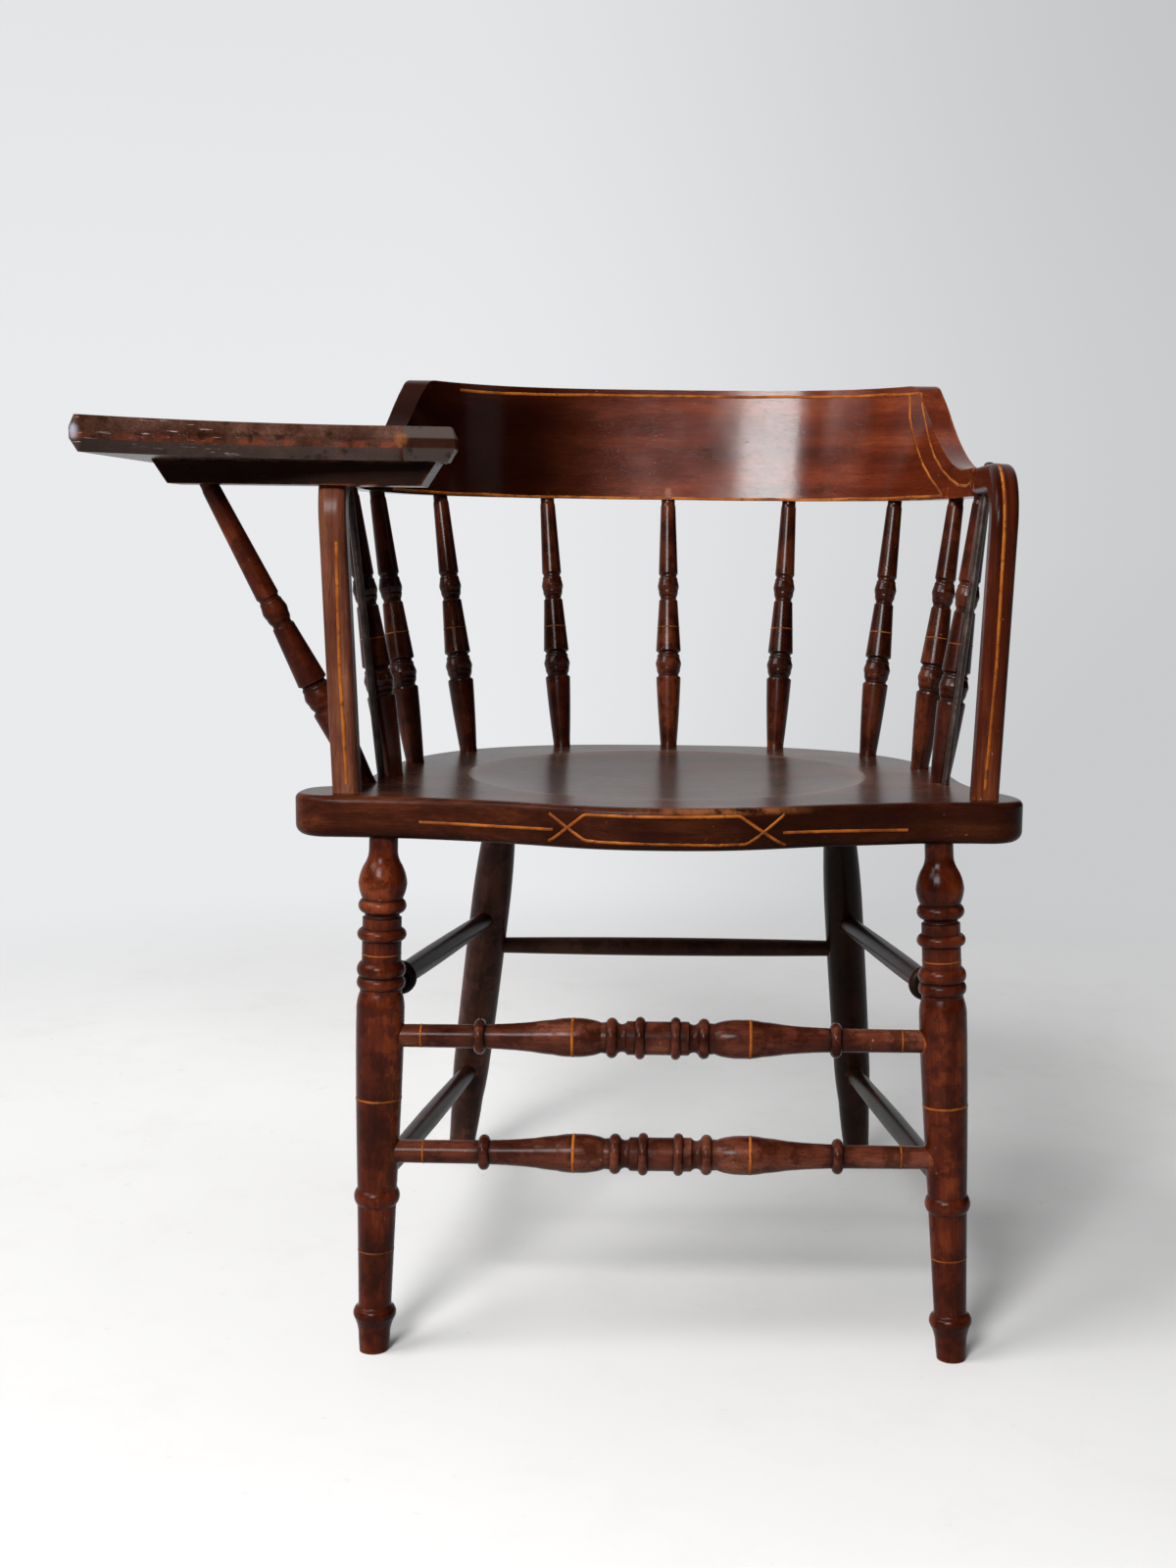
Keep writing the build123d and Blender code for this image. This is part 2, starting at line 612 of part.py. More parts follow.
with BuildPart() as writing_tablet:
    with BuildSketch(Plane(at(0, 0, tablet_bottom_z))) as outline:
        with BuildLine():
            outer_corner = (tablet_outer_x, tablet_front_y)
            tail = (tablet_outer_x + tablet_tail_radius, tablet_tail_y)
            Line((tail[0] - tablet_tail_radius, tail[1]), outer_corner)
            ThreePointArc(outer_corner, tablet_front_hollow, tablet_nose)
            inner_corner = (tablet_inner_x, tablet_nose[1] + tablet_nose_rise)
            Line(tablet_nose, inner_corner)
            Spline(inner_corner, *tablet_inner_edge, (tail[0], tail[1] + tablet_tail_radius),
                   tangents=((0, 1), (-1, 0)))
            CenterArc(tail, tablet_tail_radius, 90, 90)
        make_face()
        fillet(outline.vertices().group_by(Axis.Y)[0], tablet_corner_radius)
    extrude(amount=tablet_thickness)
    upper_face = writing_tablet.faces().sort_by(Axis.Z)[-1]
    chamfer(upper_face.edges(), *tablet_upper_bevel, reference=upper_face)
    lower_face = writing_tablet.faces().sort_by(Axis.Z)[0]
    chamfer(lower_face.edges(), *tablet_lower_bevel, reference=lower_face)
    for head in screw_heads + [arm_screw_head]:
        tip = head + Vector(0, 0, screw_length + socket_end_gap)
        drill(head, tip, screw_diameter + 2 * socket_clearance)
save(writing_tablet, "writing_tablet")

with BuildPart() as tablet_batten:
    with BuildSketch(Plane(origin=at(0, batten_front_y, tablet_bottom_z - batten_thickness), x_dir=(1, 0, 0),
                           z_dir=(0, -1, 0))):
        with BuildLine():
            Polyline((batten_outer_x + batten_end_cut, 0), (batten_inner_x - batten_end_cut, 0),
                     (batten_inner_x, batten_thickness), (batten_outer_x, batten_thickness), close=True)
        make_face()
    extrude(amount=-batten_width)
    add(arm_blank("right", body_clearance), mode=Mode.SUBTRACT)
    socket(brace_tips[1], brace_bottom, spindle_head_diameter + 0.4, 40)
    for head in screw_heads:
        drill(head - Vector(0, 0, 5), head + Vector(0, 0, through_reach),
              screw_diameter + 2 * socket_clearance)
        with Locations(head):
            Cone(screw_head_diameter / 2 + socket_clearance, screw_diameter / 2 + socket_clearance, 2.6,
                 align=(Align.CENTER, Align.CENTER, Align.MIN), mode=Mode.SUBTRACT)
save(tablet_batten, "tablet_batten")


def add_screw(head):
    """Countersunk wood screw driven upwards, its head flush at the given point."""
    with Locations(head):
        Cylinder(screw_diameter / 2, screw_length, align=(Align.CENTER, Align.CENTER, Align.MIN))
        Cone(screw_head_diameter / 2, screw_diameter / 2, 2.5, align=(Align.CENTER, Align.CENTER, Align.MIN))


with BuildPart() as batten_screws:
    for head in screw_heads:
        add_screw(head)
save(batten_screws, "batten_screws")

with BuildPart() as arm_screw:
    add_screw(arm_screw_head)
save(arm_screw, "arm_screw")
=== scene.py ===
import math

import bpy
import numpy as np
from mathutils import Matrix, Vector


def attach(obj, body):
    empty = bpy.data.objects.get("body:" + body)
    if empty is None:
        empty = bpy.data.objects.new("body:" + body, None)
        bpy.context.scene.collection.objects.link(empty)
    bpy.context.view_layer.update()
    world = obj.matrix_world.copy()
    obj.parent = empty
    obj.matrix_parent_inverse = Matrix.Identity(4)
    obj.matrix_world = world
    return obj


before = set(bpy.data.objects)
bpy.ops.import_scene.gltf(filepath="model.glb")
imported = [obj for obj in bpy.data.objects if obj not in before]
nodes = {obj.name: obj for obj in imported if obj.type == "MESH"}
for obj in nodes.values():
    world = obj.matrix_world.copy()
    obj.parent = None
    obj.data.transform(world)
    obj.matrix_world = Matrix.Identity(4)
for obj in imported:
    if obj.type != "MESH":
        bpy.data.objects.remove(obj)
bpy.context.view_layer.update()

# ---------------------------------------------------------------- seat
# One thick hardwood plank, sawn to shape and dished by hand, with rounded arrises. It is stained a dark
# red-brown and varnished. Its front edge carries a panel of ochre lines, drawn with a striping brush.

middle_plane_x = 67.75
front_legs_y = -177.56


def at(x, y, z):
    """A point measured from the chair's middle plane, the line of the front legs and the floor, in mm."""
    return Vector((x + middle_plane_x, y + front_legs_y, z)) / 1000


class Shade:
    """One output of a shader or geometry node. Sums and products of it add Math nodes."""

    def __init__(self, tree, socket=None):
        self.tree = tree
        self.socket = socket

    def node(self, kind, settings=None, inputs=None, output=0):
        """Adds any node: its settings first, then the values or links of its sockets."""
        made = self.tree.nodes.new(kind)
        for name, value in (settings or {}).items():
            if name == "stops":
                ramp = made.color_ramp.elements
                while len(ramp) < len(value):
                    ramp.new(0.5)
                for stop, (place, colour) in zip(ramp, value):
                    stop.position = place
                    stop.color = (*colour, 1)
            else:
                setattr(made, name, value)
        for name, value in (inputs or {}).items():
            if isinstance(value, Shade):
                self.tree.links.new(value.socket, made.inputs[name])
            else:
                made.inputs[name].default_value = value
        return Shade(self.tree, None if output is None else made.outputs[output])

    def out(self, name):
        """Another output of the same node."""
        return Shade(self.tree, self.socket.node.outputs[name])

    def maths(self, operation, *values):
        return self.node("ShaderNodeMath", {"operation": operation}, dict(enumerate(values)))

    def vector(self, operation, *values, output=0):
        return self.node("ShaderNodeVectorMath", {"operation": operation}, dict(enumerate(values)), output)

    def __add__(self, other):
        return self.maths("ADD", self, other)

    def __radd__(self, other):
        return self.maths("ADD", other, self)

    def __sub__(self, other):
        return self.maths("SUBTRACT", self, other)

    def __rsub__(self, other):
        return self.maths("SUBTRACT", other, self)

    def __mul__(self, other):
        return self.maths("MULTIPLY", self, other)

    def __rmul__(self, other):
        return self.maths("MULTIPLY", other, self)

    def __pow__(self, other):
        return self.maths("POWER", self, other)

    def least(self, other):
        return self.maths("MINIMUM", self, other)

    def most(self, other):
        return self.maths("MAXIMUM", self, other)

    def above(self, low, high):
        """0 below low, 1 above high, smooth between; the other way round where low is the larger."""
        return self.node("ShaderNodeMapRange", {"interpolation_type": "SMOOTHSTEP"},
                         {"Value": self, "From Min": low, "From Max": high})

    def noise(self, point, scale, detail=3.0, roughness=0.55):
        return self.node("ShaderNodeTexNoise", {}, {"Vector": point, "Scale": scale, "Detail": detail,
                                                    "Roughness": roughness})

    def tint(self, amount, under, over):
        """One colour laid over another."""
        under = under if isinstance(under, Shade) else (*under, 1)
        over = over if isinstance(over, Shade) else (*over, 1)
        return self.node("ShaderNodeMix", {"data_type": "RGBA"}, {0: amount, 6: under, 7: over}, 2)


def new_finish(name):
    """An empty material, with the place on the piece as its first value."""
    made = bpy.data.materials.new(name)
    made.use_nodes = True
    made.node_tree.nodes.clear()
    return made, Shade(made.node_tree).node("ShaderNodeTexCoord", output="Object")


def lay_finish(place, colour, roughness, bump, metallic=0.0, depth=0.00005, shine=0.05, polish=0.0):
    """Joins colour, roughness and relief to the surface; polish is a second, glossier coat."""
    relief = place.node("ShaderNodeBump", {}, {"Height": bump, "Distance": depth, "Strength": 1.0})
    surface = place.node("ShaderNodeBsdfPrincipled", {}, {
        "Base Color": colour, "Roughness": roughness, "Metallic": metallic, "Normal": relief, "IOR": 1.5,
        "Specular IOR Level": shine, "Coat Weight": polish, "Coat Roughness": 0.24})
    place.node("ShaderNodeOutputMaterial", {}, {"Surface": surface}, None)


def give(finish, *names):
    """Puts one finish on whole pieces."""
    for name in names:
        slots = nodes[name].data.materials
        slots.clear()
        slots.append(finish)


pore_colour = (0.004, 0.0015, 0.001)
grime_and_groove_shade_colour = (0.0035, 0.002, 0.0015)
rubbed_wood = (0.25, 0.070, 0.017)
nicked_wood = (0.30, 0.16, 0.09)
groove_reach, arris_reach = 0.012, 0.0030


def varnished(place, grain, deep, middle, warm, wear=1.0, gloss=0.26, seed=0.0, figure_length=4.0,
              streaks=0.40):
    """Stained and varnished hardwood. grain is the place in metres with z along the fibres."""
    long = grain.vector("ADD", grain, (seed, seed * 1.7, 0))
    figure = place.noise(long.vector("MULTIPLY", long, (42, 42, figure_length)), 1.0, 4.0, 0.6)
    fibre = place.noise(long.vector("MULTIPLY", long, (620, 620, 16)), 1.0, 3.0, 0.6)
    pores = place.noise(long.vector("MULTIPLY", long, (2100, 2100, 75)), 1.0, 1.0).above(0.60, 0.72)
    cloud = place.noise(long, 15.0, 4.0, 0.6)
    hollow = place.node("ShaderNodeAmbientOcclusion", {"only_local": True, "samples": 4},
                        {"Distance": groove_reach}, "AO").above(0.95, 0.64)
    edge = place.node("ShaderNodeAmbientOcclusion", {"only_local": True, "inside": True, "samples": 4},
                      {"Distance": arris_reach}, "AO").above(0.80, 0.45)
    rub = place.noise(long, 70.0, 4.0, 0.65)
    tone = figure * 0.62 + cloud * 0.38
    stain = ((0.34, deep), (0.50, middle), (0.66, warm))
    colour = place.node("ShaderNodeValToRGB", {"stops": stain}, {0: tone})
    colour = place.tint(fibre.above(0.62, 0.36) * streaks, colour, deep)
    colour = place.tint(pores * 0.75, colour, pore_colour)
    # Darker in the grooves and hollows: grime packed there, and painted shade where shade falls.
    grime_and_groove_shade = (hollow * (rub * 0.6 + 0.80)).least(1.0)
    colour = place.tint(grime_and_groove_shade * 0.92, colour, grime_and_groove_shade_colour)
    rubbed = edge * rub.above(0.40, 0.62) * (1 - hollow) * wear
    colour = place.tint(rubbed * 0.8, colour, rubbed_wood)
    nicks = place.noise(long, 260.0, 2.0, 0.7).above(0.70, 0.76) * cloud.above(0.45, 0.6)
    colour = place.tint(nicks * 0.5, colour, nicked_wood)
    roughness = cloud * 0.12 + hollow * 0.30 + pores * 0.08 + (gloss - 0.06) + rubbed * 0.15
    bump = fibre * 0.12 + cloud * 0.30 - pores * 0.20 - nicks * 0.8 + rub * 0.08
    return colour, roughness, bump, rub, cloud


seat_deep = (0.007, 0.0016, 0.0006)
seat_middle = (0.030, 0.0066, 0.0026)
seat_warm = (0.082, 0.0200, 0.0070)
seat_haze = (0.058, 0.038, 0.030)
dish_rim_wear_and_highlight_colour = (0.13, 0.075, 0.055)
scuff_colour = (0.14, 0.09, 0.07)
worn_front_colour = (0.17, 0.055, 0.018)
dish_middle = at(0, 150, 438)
finish, place = new_finish("seat stain and varnish")
plank_grain = place.node("ShaderNodeMapping", {}, {"Vector": place, "Rotation": (0, math.pi / 2, 0)})
colour, roughness, bump, rub, cloud = varnished(place, plank_grain, seat_deep, seat_middle, seat_warm,
                                                wear=0.8, gloss=0.26, seed=0.31)
normal = place.node("ShaderNodeNewGeometry", output="Normal")
facing = place.node("ShaderNodeSeparateXYZ", {}, {0: normal})
up = facing.out("Z").above(0.80, 0.97)
where = place.node("ShaderNodeSeparateXYZ", {}, {0: place})
sat_on = place.vector("DISTANCE", place, tuple(dish_middle), output="Value")
shaded = where.out("X").above(-0.10, 0.14) * (1 - up)
colour = place.tint(shaded * 0.55, colour, seat_deep)
haze = up * (rub.above(0.30, 0.70) * 0.5 + 0.4) * sat_on.above(0.30, 0.10)
colour = place.tint(haze * 0.60, colour, seat_haze)
# A pale ring along the edge of the dish: wear, and a painted highlight of the dish's curve.
dish_edge_wear_and_highlight = sat_on.above(0.150, 0.163) * sat_on.above(0.176, 0.165) * up * cloud.above(0.35, 0.6)
colour = place.tint(dish_edge_wear_and_highlight * 0.35, colour, dish_rim_wear_and_highlight_colour)
scuffs = place.noise(place.vector("MULTIPLY", place, (60, 420, 60)), 1.0, 2.0, 0.6).above(0.66, 0.74) * up
colour = place.tint(scuffs * 0.22, colour, scuff_colour)
front_arris = where.out("Z").above(0.4315, 0.4355) * where.out("Y").above(-0.2145, -0.2315) * (1 - up * 0.6)
worn_front = front_arris * rub.above(0.34, 0.58) * where.out("X").above(0.02, 0.10)
colour = place.tint(worn_front * 0.75, colour, worn_front_colour)
lay_finish(place, colour, roughness + haze * 0.06 + scuffs * 0.12, bump, shine=0.035, polish=up * 0.26)
give(finish, "seat")

# The striping paint, used for every line on the chair: ochre, thin, and rubbed through in places.
paint, place = new_finish("ochre striping paint")
thin = place.noise(place, 130.0, 4.0, 0.7)
tone = place.noise(place, 34.0, 3.0)
dark_ochre, light_ochre = (0.115, 0.027, 0.004), (0.27, 0.078, 0.011)
rubbed_ochre = (0.055, 0.014, 0.005)
ochre = place.node("ShaderNodeValToRGB", {"stops": ((0.35, dark_ochre), (0.62, light_ochre))}, {0: tone})
ochre = place.tint(thin.above(0.52, 0.66) * 0.75, ochre, rubbed_ochre)
lay_finish(place, ochre, thin * 0.25 + 0.28, thin, depth=0.0002)

# The brush line as a rule: a drawn path is laid on the wood, kept square to it, and given the width of the
# brush and the thickness of the paint.
line_tree = bpy.data.node_groups.new("painted line", "GeometryNodeTree")
line_inputs = {}
for label, kind in (("Paths", "NodeSocketGeometry"), ("Wood", "NodeSocketCollection"),
                    ("Brush width", "NodeSocketFloat"), ("Paint thickness", "NodeSocketFloat"),
                    ("Step", "NodeSocketFloat"), ("Paint", "NodeSocketMaterial")):
    line_inputs[label] = line_tree.interface.new_socket(label, in_out="INPUT", socket_type=kind).identifier
line_tree.interface.new_socket("Line", in_out="OUTPUT", socket_type="NodeSocketGeometry")
given = Shade(line_tree).node("NodeGroupInput", output="Paths")
wood = given.node("GeometryNodeCollectionInfo", {"transform_space": "RELATIVE"},
                  {"Collection": given.out("Wood")})
wood = given.node("GeometryNodeRealizeInstances", {}, {0: wood})
path = given.node("GeometryNodeMeshToCurve", {}, {0: given})
path = given.node("GeometryNodeResampleCurve", {"mode": "LENGTH"},
                  {"Curve": path, "Length": given.out("Step")})
nearest = given.node("GeometryNodeProximity", {"target_element": "FACES"}, {0: wood})
wood_normal = given.node("GeometryNodeInputNormal")
square = given.node("GeometryNodeSampleNearestSurface", {"data_type": "FLOAT_VECTOR"},
                    {"Mesh": wood, "Value": wood_normal})
# The line lies a little way into the wood, so that no gap shows under it.
lift = given.node("ShaderNodeVectorMath", {"operation": "SCALE"},
                  {0: square, "Scale": given.out("Paint thickness") * 0.35})
square_path = given.node("GeometryNodeSetCurveNormal", {"mode": "FREE"}, {"Curve": path, "Normal": square})
laid = given.node("GeometryNodeSetPosition", {}, {
    "Geometry": square_path, "Position": given.vector("ADD", nearest, lift)})
brush = given.node("GeometryNodeCurvePrimitiveQuadrilateral", {"mode": "RECTANGLE"}, {
    "Width": given.out("Paint thickness"), "Height": given.out("Brush width")})
line = given.node("GeometryNodeCurveToMesh", {}, {"Curve": laid, "Profile Curve": brush, "Fill Caps": True})
line = given.node("GeometryNodeRealizeInstances", {}, {0: line})
line = given.node("GeometryNodeSetMaterial", {}, {"Geometry": line, "Material": given.out("Paint")})
given.node("NodeGroupOutput", {}, {"Line": line}, None)


def striping(name, paths, wood_names, brush_width=0.0022, paint_thickness=0.0003, step=0.002):
    """Paints lines on the named pieces. A path is a list of points, and a closed one ends where it starts."""
    points, edges = [], []
    for path in paths:
        closed = (path[0] - path[-1]).length < 1e-6
        kept = path[:-1] if closed else path
        first = len(points)
        points += kept
        edges += [(first + i, first + i + 1) for i in range(len(kept) - 1)]
        if closed:
            edges.append((first + len(kept) - 1, first))
    drawn = bpy.data.meshes.new(name + " drawn")
    drawn.from_pydata(points, edges, [])
    piece = bpy.data.objects.new(name, drawn)
    bpy.context.scene.collection.objects.link(piece)
    wood_group = bpy.data.collections.new(name + " wood")
    for wood_name in wood_names:
        wood_group.objects.link(nodes[wood_name])
    modifier = piece.modifiers.new("painted line", "NODES")
    modifier.node_group = line_tree
    for label, value in (("Wood", wood_group), ("Brush width", brush_width),
                         ("Paint thickness", paint_thickness), ("Step", step), ("Paint", paint)):
        modifier[line_inputs[label]] = value
    bpy.context.view_layer.update()
    graph = bpy.context.evaluated_depsgraph_get()
    painted = bpy.data.meshes.new_from_object(piece.evaluated_get(graph))
    piece.modifiers.remove(modifier)
    piece.data = painted
    painted.name = name
    bpy.data.meshes.remove(drawn)
    bpy.data.collections.remove(wood_group)
    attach(piece, "root")


# Two long dashes and a panel between them, whose lines cross at its ends.
cross_right, cross_left = (-72.3, -58, 422), (72.5, -57, 420)
seat_paths = (
    ((-184, -26, 420), (-135, -42, 419.6), (-83, -54, 420)),
    ((-86, -53, 432), cross_right, (-58.7, -62, 413), (-20, -68, 411), (15, -68, 410.6), (59, -61, 410.6),
     cross_left, (88, -52, 432.5)),
    ((-86, -52, 410.5), cross_right, (-59.7, -62, 432.3), (-20, -68, 432), (15, -68.5, 432), (55, -63, 432.5),
     cross_left, (88.6, -49, 408.5)),
    ((87.2, -52.5, 419.2), (136, -40, 418.6), (181.7, -25.5, 418)),
)
striping("seat_striping", [[at(*point) for point in path] for path in seat_paths], ["seat"])

# ---------------------------------------------------------------- legs
# Four legs turned from maple or birch, the front pair with balls, beads and rings, the rear pair plain.
# Each is tenoned and glued into the seat, and stained and varnished like it. The front pair are ringed with
# ochre lines while still on the lathe.


def lathe_axis(name):
    """The lower end, the direction and the length of a turned piece."""
    points = np.array([vertex.co for vertex in nodes[name].data.vertices], float)
    middle = points.mean(0)
    direction = np.linalg.svd(points - middle, full_matrices=False)[2][0]
    strongest = int(np.argmax(np.abs(direction)))
    direction = direction * np.sign(direction[strongest])
    along = (points - middle) @ direction
    return Vector(middle + direction * along.min()), Vector(direction), float(along.max() - along.min())


def turned_finish(name, deep, middle, warm, gloss=0.20, wear=1.0, seed=0.0, shine=0.07):
    """The stain and varnish of one turned piece, with its grain and lathe marks along and around its axis."""
    start, direction, length = lathe_axis(name)
    finish, place = new_finish(name + " stain and varnish")
    reach = place.vector("SUBTRACT", place, tuple(start))
    along = place.vector("DOT_PRODUCT", reach, tuple(direction), output="Value")
    turn = direction.to_track_quat("Z", "Y").inverted().to_euler()
    grain = place.node("ShaderNodeMapping", {}, {"Vector": reach, "Rotation": tuple(turn)})
    colour, roughness, bump, rub, cloud = varnished(place, grain, deep, middle, warm, wear, gloss, seed,
                                                    figure_length=9.0, streaks=0.20)
    lathe_point = place.node("ShaderNodeCombineXYZ", {}, {"Z": along * 900})
    lathe = place.noise(lathe_point, 1.0, 2.0)
    mottle = place.noise(reach, 48.0, 5.0, 0.7)
    colour = place.tint(mottle.above(0.54, 0.42) * 0.60, colour, deep)
    lay_finish(place, colour, roughness, bump + lathe * 0.12, shine=shine)
    give(finish, name)
    return start, direction, length


turned_deep = (0.010, 0.0016, 0.0006)
turned_middle = (0.050, 0.0078, 0.0024)
turned_warm = (0.150, 0.0300, 0.0090)
dull_deep = (0.004, 0.0015, 0.0008)
dull_middle = (0.014, 0.0046, 0.0025)
dull_warm = (0.032, 0.0105, 0.0050)
front_legs = ["front_leg_right", "front_leg_left"]
axes = {}
for number, name in enumerate(front_legs):
    axes[name] = turned_finish(name, turned_deep, turned_middle, turned_warm, seed=0.7 + number)
# The right rear leg gets a lighter, redder stain than the left: painted light, where the left lamp falls on
# it.
turned_finish("rear_leg_right", (0.010, 0.0038, 0.0025), (0.045, 0.0160, 0.0105), (0.090, 0.0330, 0.0220),
              gloss=0.32, seed=3.1)
turned_finish("rear_leg_left", dull_deep, dull_middle, dull_warm, gloss=0.32, seed=4.1)


ring_points = 32


def ring(axis, along, radius):
    """A circle around a turned piece, a given way from its lower end."""
    start, direction = axis[:2]
    middle = start + direction * along
    side = direction.orthogonal().normalized()
    other = direction.cross(side)
    circle = [middle + (side * math.cos(a) + other * math.sin(a)) * radius
              for a in np.linspace(0, 2 * math.pi, ring_points + 1)[:-1]]
    return circle + [circle[0]]


outside_leg = 0.026
shaft_ring = 0.203
fine_ring_heights = (0.082, 0.316)
leg_rings = [ring(axes[name], shaft_ring, outside_leg) for name in front_legs]
fine_rings = [ring(axes[name], along, outside_leg) for name in front_legs for along in fine_ring_heights]
striping("leg_rings", leg_rings, front_legs, 0.0018, 0.00024, 0.003)
striping("fine_leg_rings", fine_rings, front_legs, 0.0008, 0.0002, 0.003)

# ---------------------------------------------------------------- stretchers
# Seven rungs join the legs. The two in front are turned with beads and balls and lined like the legs. Those
# at the sides and back are plain rods. All are driven and glued into holes bored in the legs.

front_stretchers = ["front_stretcher_upper", "front_stretcher_lower"]
# The front stretchers get a lighter stain than the legs: painted sheen, for the light their tops catch from
# above.
for number, name in enumerate(front_stretchers):
    axes[name] = turned_finish(name, turned_deep, (0.072, 0.0180, 0.0092), (0.165, 0.056, 0.031),
                               seed=5.3 + number)
for number, name in enumerate(("side_stretcher_upper_right", "side_stretcher_upper_left",
                               "side_stretcher_lower_right", "side_stretcher_lower_left")):
    turned_finish(name, dull_deep, dull_middle, dull_warm, gloss=0.34, wear=0.6, seed=8.0 + number)
turned_finish("rear_stretcher", (0.018, 0.0075, 0.0046), (0.050, 0.0200, 0.0130), (0.095, 0.0400, 0.0260),
              gloss=0.34, wear=0.6, seed=12.0)

outside_stretcher = 0.017
for name, off_middle, brush_width in (("stretcher_rings", 0.068, 0.0022),
                                      ("fine_stretcher_rings", 0.184, 0.0012)):
    rings = [ring(axes[rung], axes[rung][2] / 2 + side * off_middle, outside_stretcher)
             for rung in front_stretchers for side in (-1, 1)]
    striping(name, rings, front_stretchers, brush_width, 0.00024, 0.003)

# ---------------------------------------------------------------- back spindles
# Nine slender spindles, turned with two beaded collars and tapering ends, stand around the back of the
# seat and hold the crest and the arms. Each has one fine ochre ring between its collars.

tenon_length = 0.018
ring_above_seat = 0.1126
outside_spindle = 0.012

spindles = ["spindle_centre"] + [f"spindle_{side}_{n}" for side in ("right", "left") for n in (1, 2, 3, 4)]
spindle_rings = []
for number, name in enumerate(spindles):
    axes[name] = turned_finish(name, (0.006, 0.0010, 0.0004), (0.026, 0.0043, 0.0013),
                               (0.080, 0.0165, 0.0050), gloss=0.19, seed=13.0 + number, shine=0.14)
    spindle_rings.append(ring(axes[name], tenon_length + ring_above_seat, outside_spindle))
striping("spindle_rings", spindle_rings, spindles, 0.0009, 0.0002, 0.002)

# ---------------------------------------------------------------- crest rail
# A wide board, steamed and bent to a U around the sitter's back and cut to an ogee at each end. It shows the
# curliest wood, under clear reddish varnish, and is bordered with ochre lines, doubled at the ends.

crest_deep = (0.032, 0.0048, 0.0012)
crest_middle = (0.074, 0.0110, 0.0032)
crest_warm = (0.135, 0.0260, 0.0080)
curl_light, curl_dark = (0.20, 0.042, 0.015), (0.022, 0.004, 0.0013)
crest_end_shade_colour = (0.0042, 0.0006, 0.0002)
finish, place = new_finish("crest stain and varnish")
bend_middle = at(0, 170, 0)
from_middle = place.vector("SUBTRACT", place, tuple(bend_middle))
from_middle = place.node("ShaderNodeSeparateXYZ", {}, {0: from_middle})
angle = place.maths("ARCTAN2", from_middle.out("X"), from_middle.out("Y"))
radius = (from_middle.out("X") ** 2 + from_middle.out("Y") ** 2) ** 0.5
bent_grain = place.node("ShaderNodeCombineXYZ", {}, {
    "X": from_middle.out("Z"), "Y": radius * 0.5, "Z": angle * 0.24})
colour, roughness, bump, rub, cloud = varnished(place, bent_grain, crest_deep, crest_middle, crest_warm,
                                                wear=0.9, gloss=0.155, seed=0.9, figure_length=5.0)
curl = place.noise(bent_grain.vector("MULTIPLY", bent_grain, (26, 26, 9)), 1.0, 5.0, 0.68)
colour = place.tint(curl.above(0.50, 0.68) * 0.25, colour, curl_light)
colour = place.tint(curl.above(0.44, 0.30) * 0.30, colour, curl_dark)
# Painted shade: the crest is darkened towards its end over the tablet, most of all low down.
crest_end_shade = from_middle.out("X").above(0.03, -0.14) * from_middle.out("Z").above(0.86, 0.74)
colour = place.tint(crest_end_shade * 0.95, colour, crest_end_shade_colour)
lay_finish(place, colour, roughness, bump + curl * 0.05, shine=0.24)
give(finish, "crest_rail")

outer_line = ((224.7, 314.5, 763.2), (224.6, 302.9, 746.1), (226.5, 293.3, 731.6), (228.3, 283.9, 719.1),
              (231.1, 269.9, 706.0), (235.4, 247.0, 693.0), (238.8, 220.4, 684.6), (241.2, 188.4, 678.5),
              (242.4, 150.0, 677.0), (242.8, 134.0, 679.0))
inner_line = ((214.5, 325.8, 763.0), (214.7, 319.9, 742.6), (216.4, 312.3, 729.1), (219.0, 301.1, 714.2),
              (223.1, 287.6, 699.6), (228.1, 269.3, 686.8), (232.5, 248.5, 676.7), (234.4, 236.0, 671.5))
top_line = ((-194.1, 351.3, 764.5), (-140, 383, 765.2), (-79.7, 401.4, 765.5), (12.8, 403.6, 765.5),
            (105.1, 397.1, 765.5), (150, 379, 765.5), (192.9, 353.6, 765.0), (224.7, 314.5, 763.2))
bottom_line = ((234.4, 236, 671.3), (215, 300, 670.8), (165, 350, 670.8), (90, 374, 670.8), (0, 379, 670.8))
crest_low_z, crest_height = 668, 103
other_end_out, other_end_lean = 6, 9


def other_end(point):
    """The same point at the other end of the crest, which stands out further below and leans in."""
    x, y, z = point
    rise = (z - crest_low_z) / crest_height
    return (-x - other_end_out + other_end_lean * rise, y, z)


crest_paths = [outer_line, inner_line, top_line, bottom_line]
crest_paths.append([other_end(point) for point in bottom_line])
striping("crest_striping", [[at(*point) for point in path] for path in crest_paths], ["crest_rail"],
         0.0026, 0.0003, 0.003)

# Two birch dowels, hidden in the butt joints between the ends of the crest and the arms.
finish, place = new_finish("bare birch")
streak = place.noise(place.vector("MULTIPLY", place, (700, 30, 700)), 1.0, 3.0)
birch = ((0.35, (0.42, 0.27, 0.15)), (0.65, (0.60, 0.42, 0.25)))
colour = place.node("ShaderNodeValToRGB", {"stops": birch}, {0: streak})
lay_finish(place, colour, streak * 0.2 + 0.55, streak)
give(finish, "crest_dowels")

# ---------------------------------------------------------------- arms
# Square sticks, steamed and bent, whose upright end is tenoned into the seat and whose level end meets the
# crest. The long edges are rounded and rubbed, and one ochre line runs down the middle of the front.

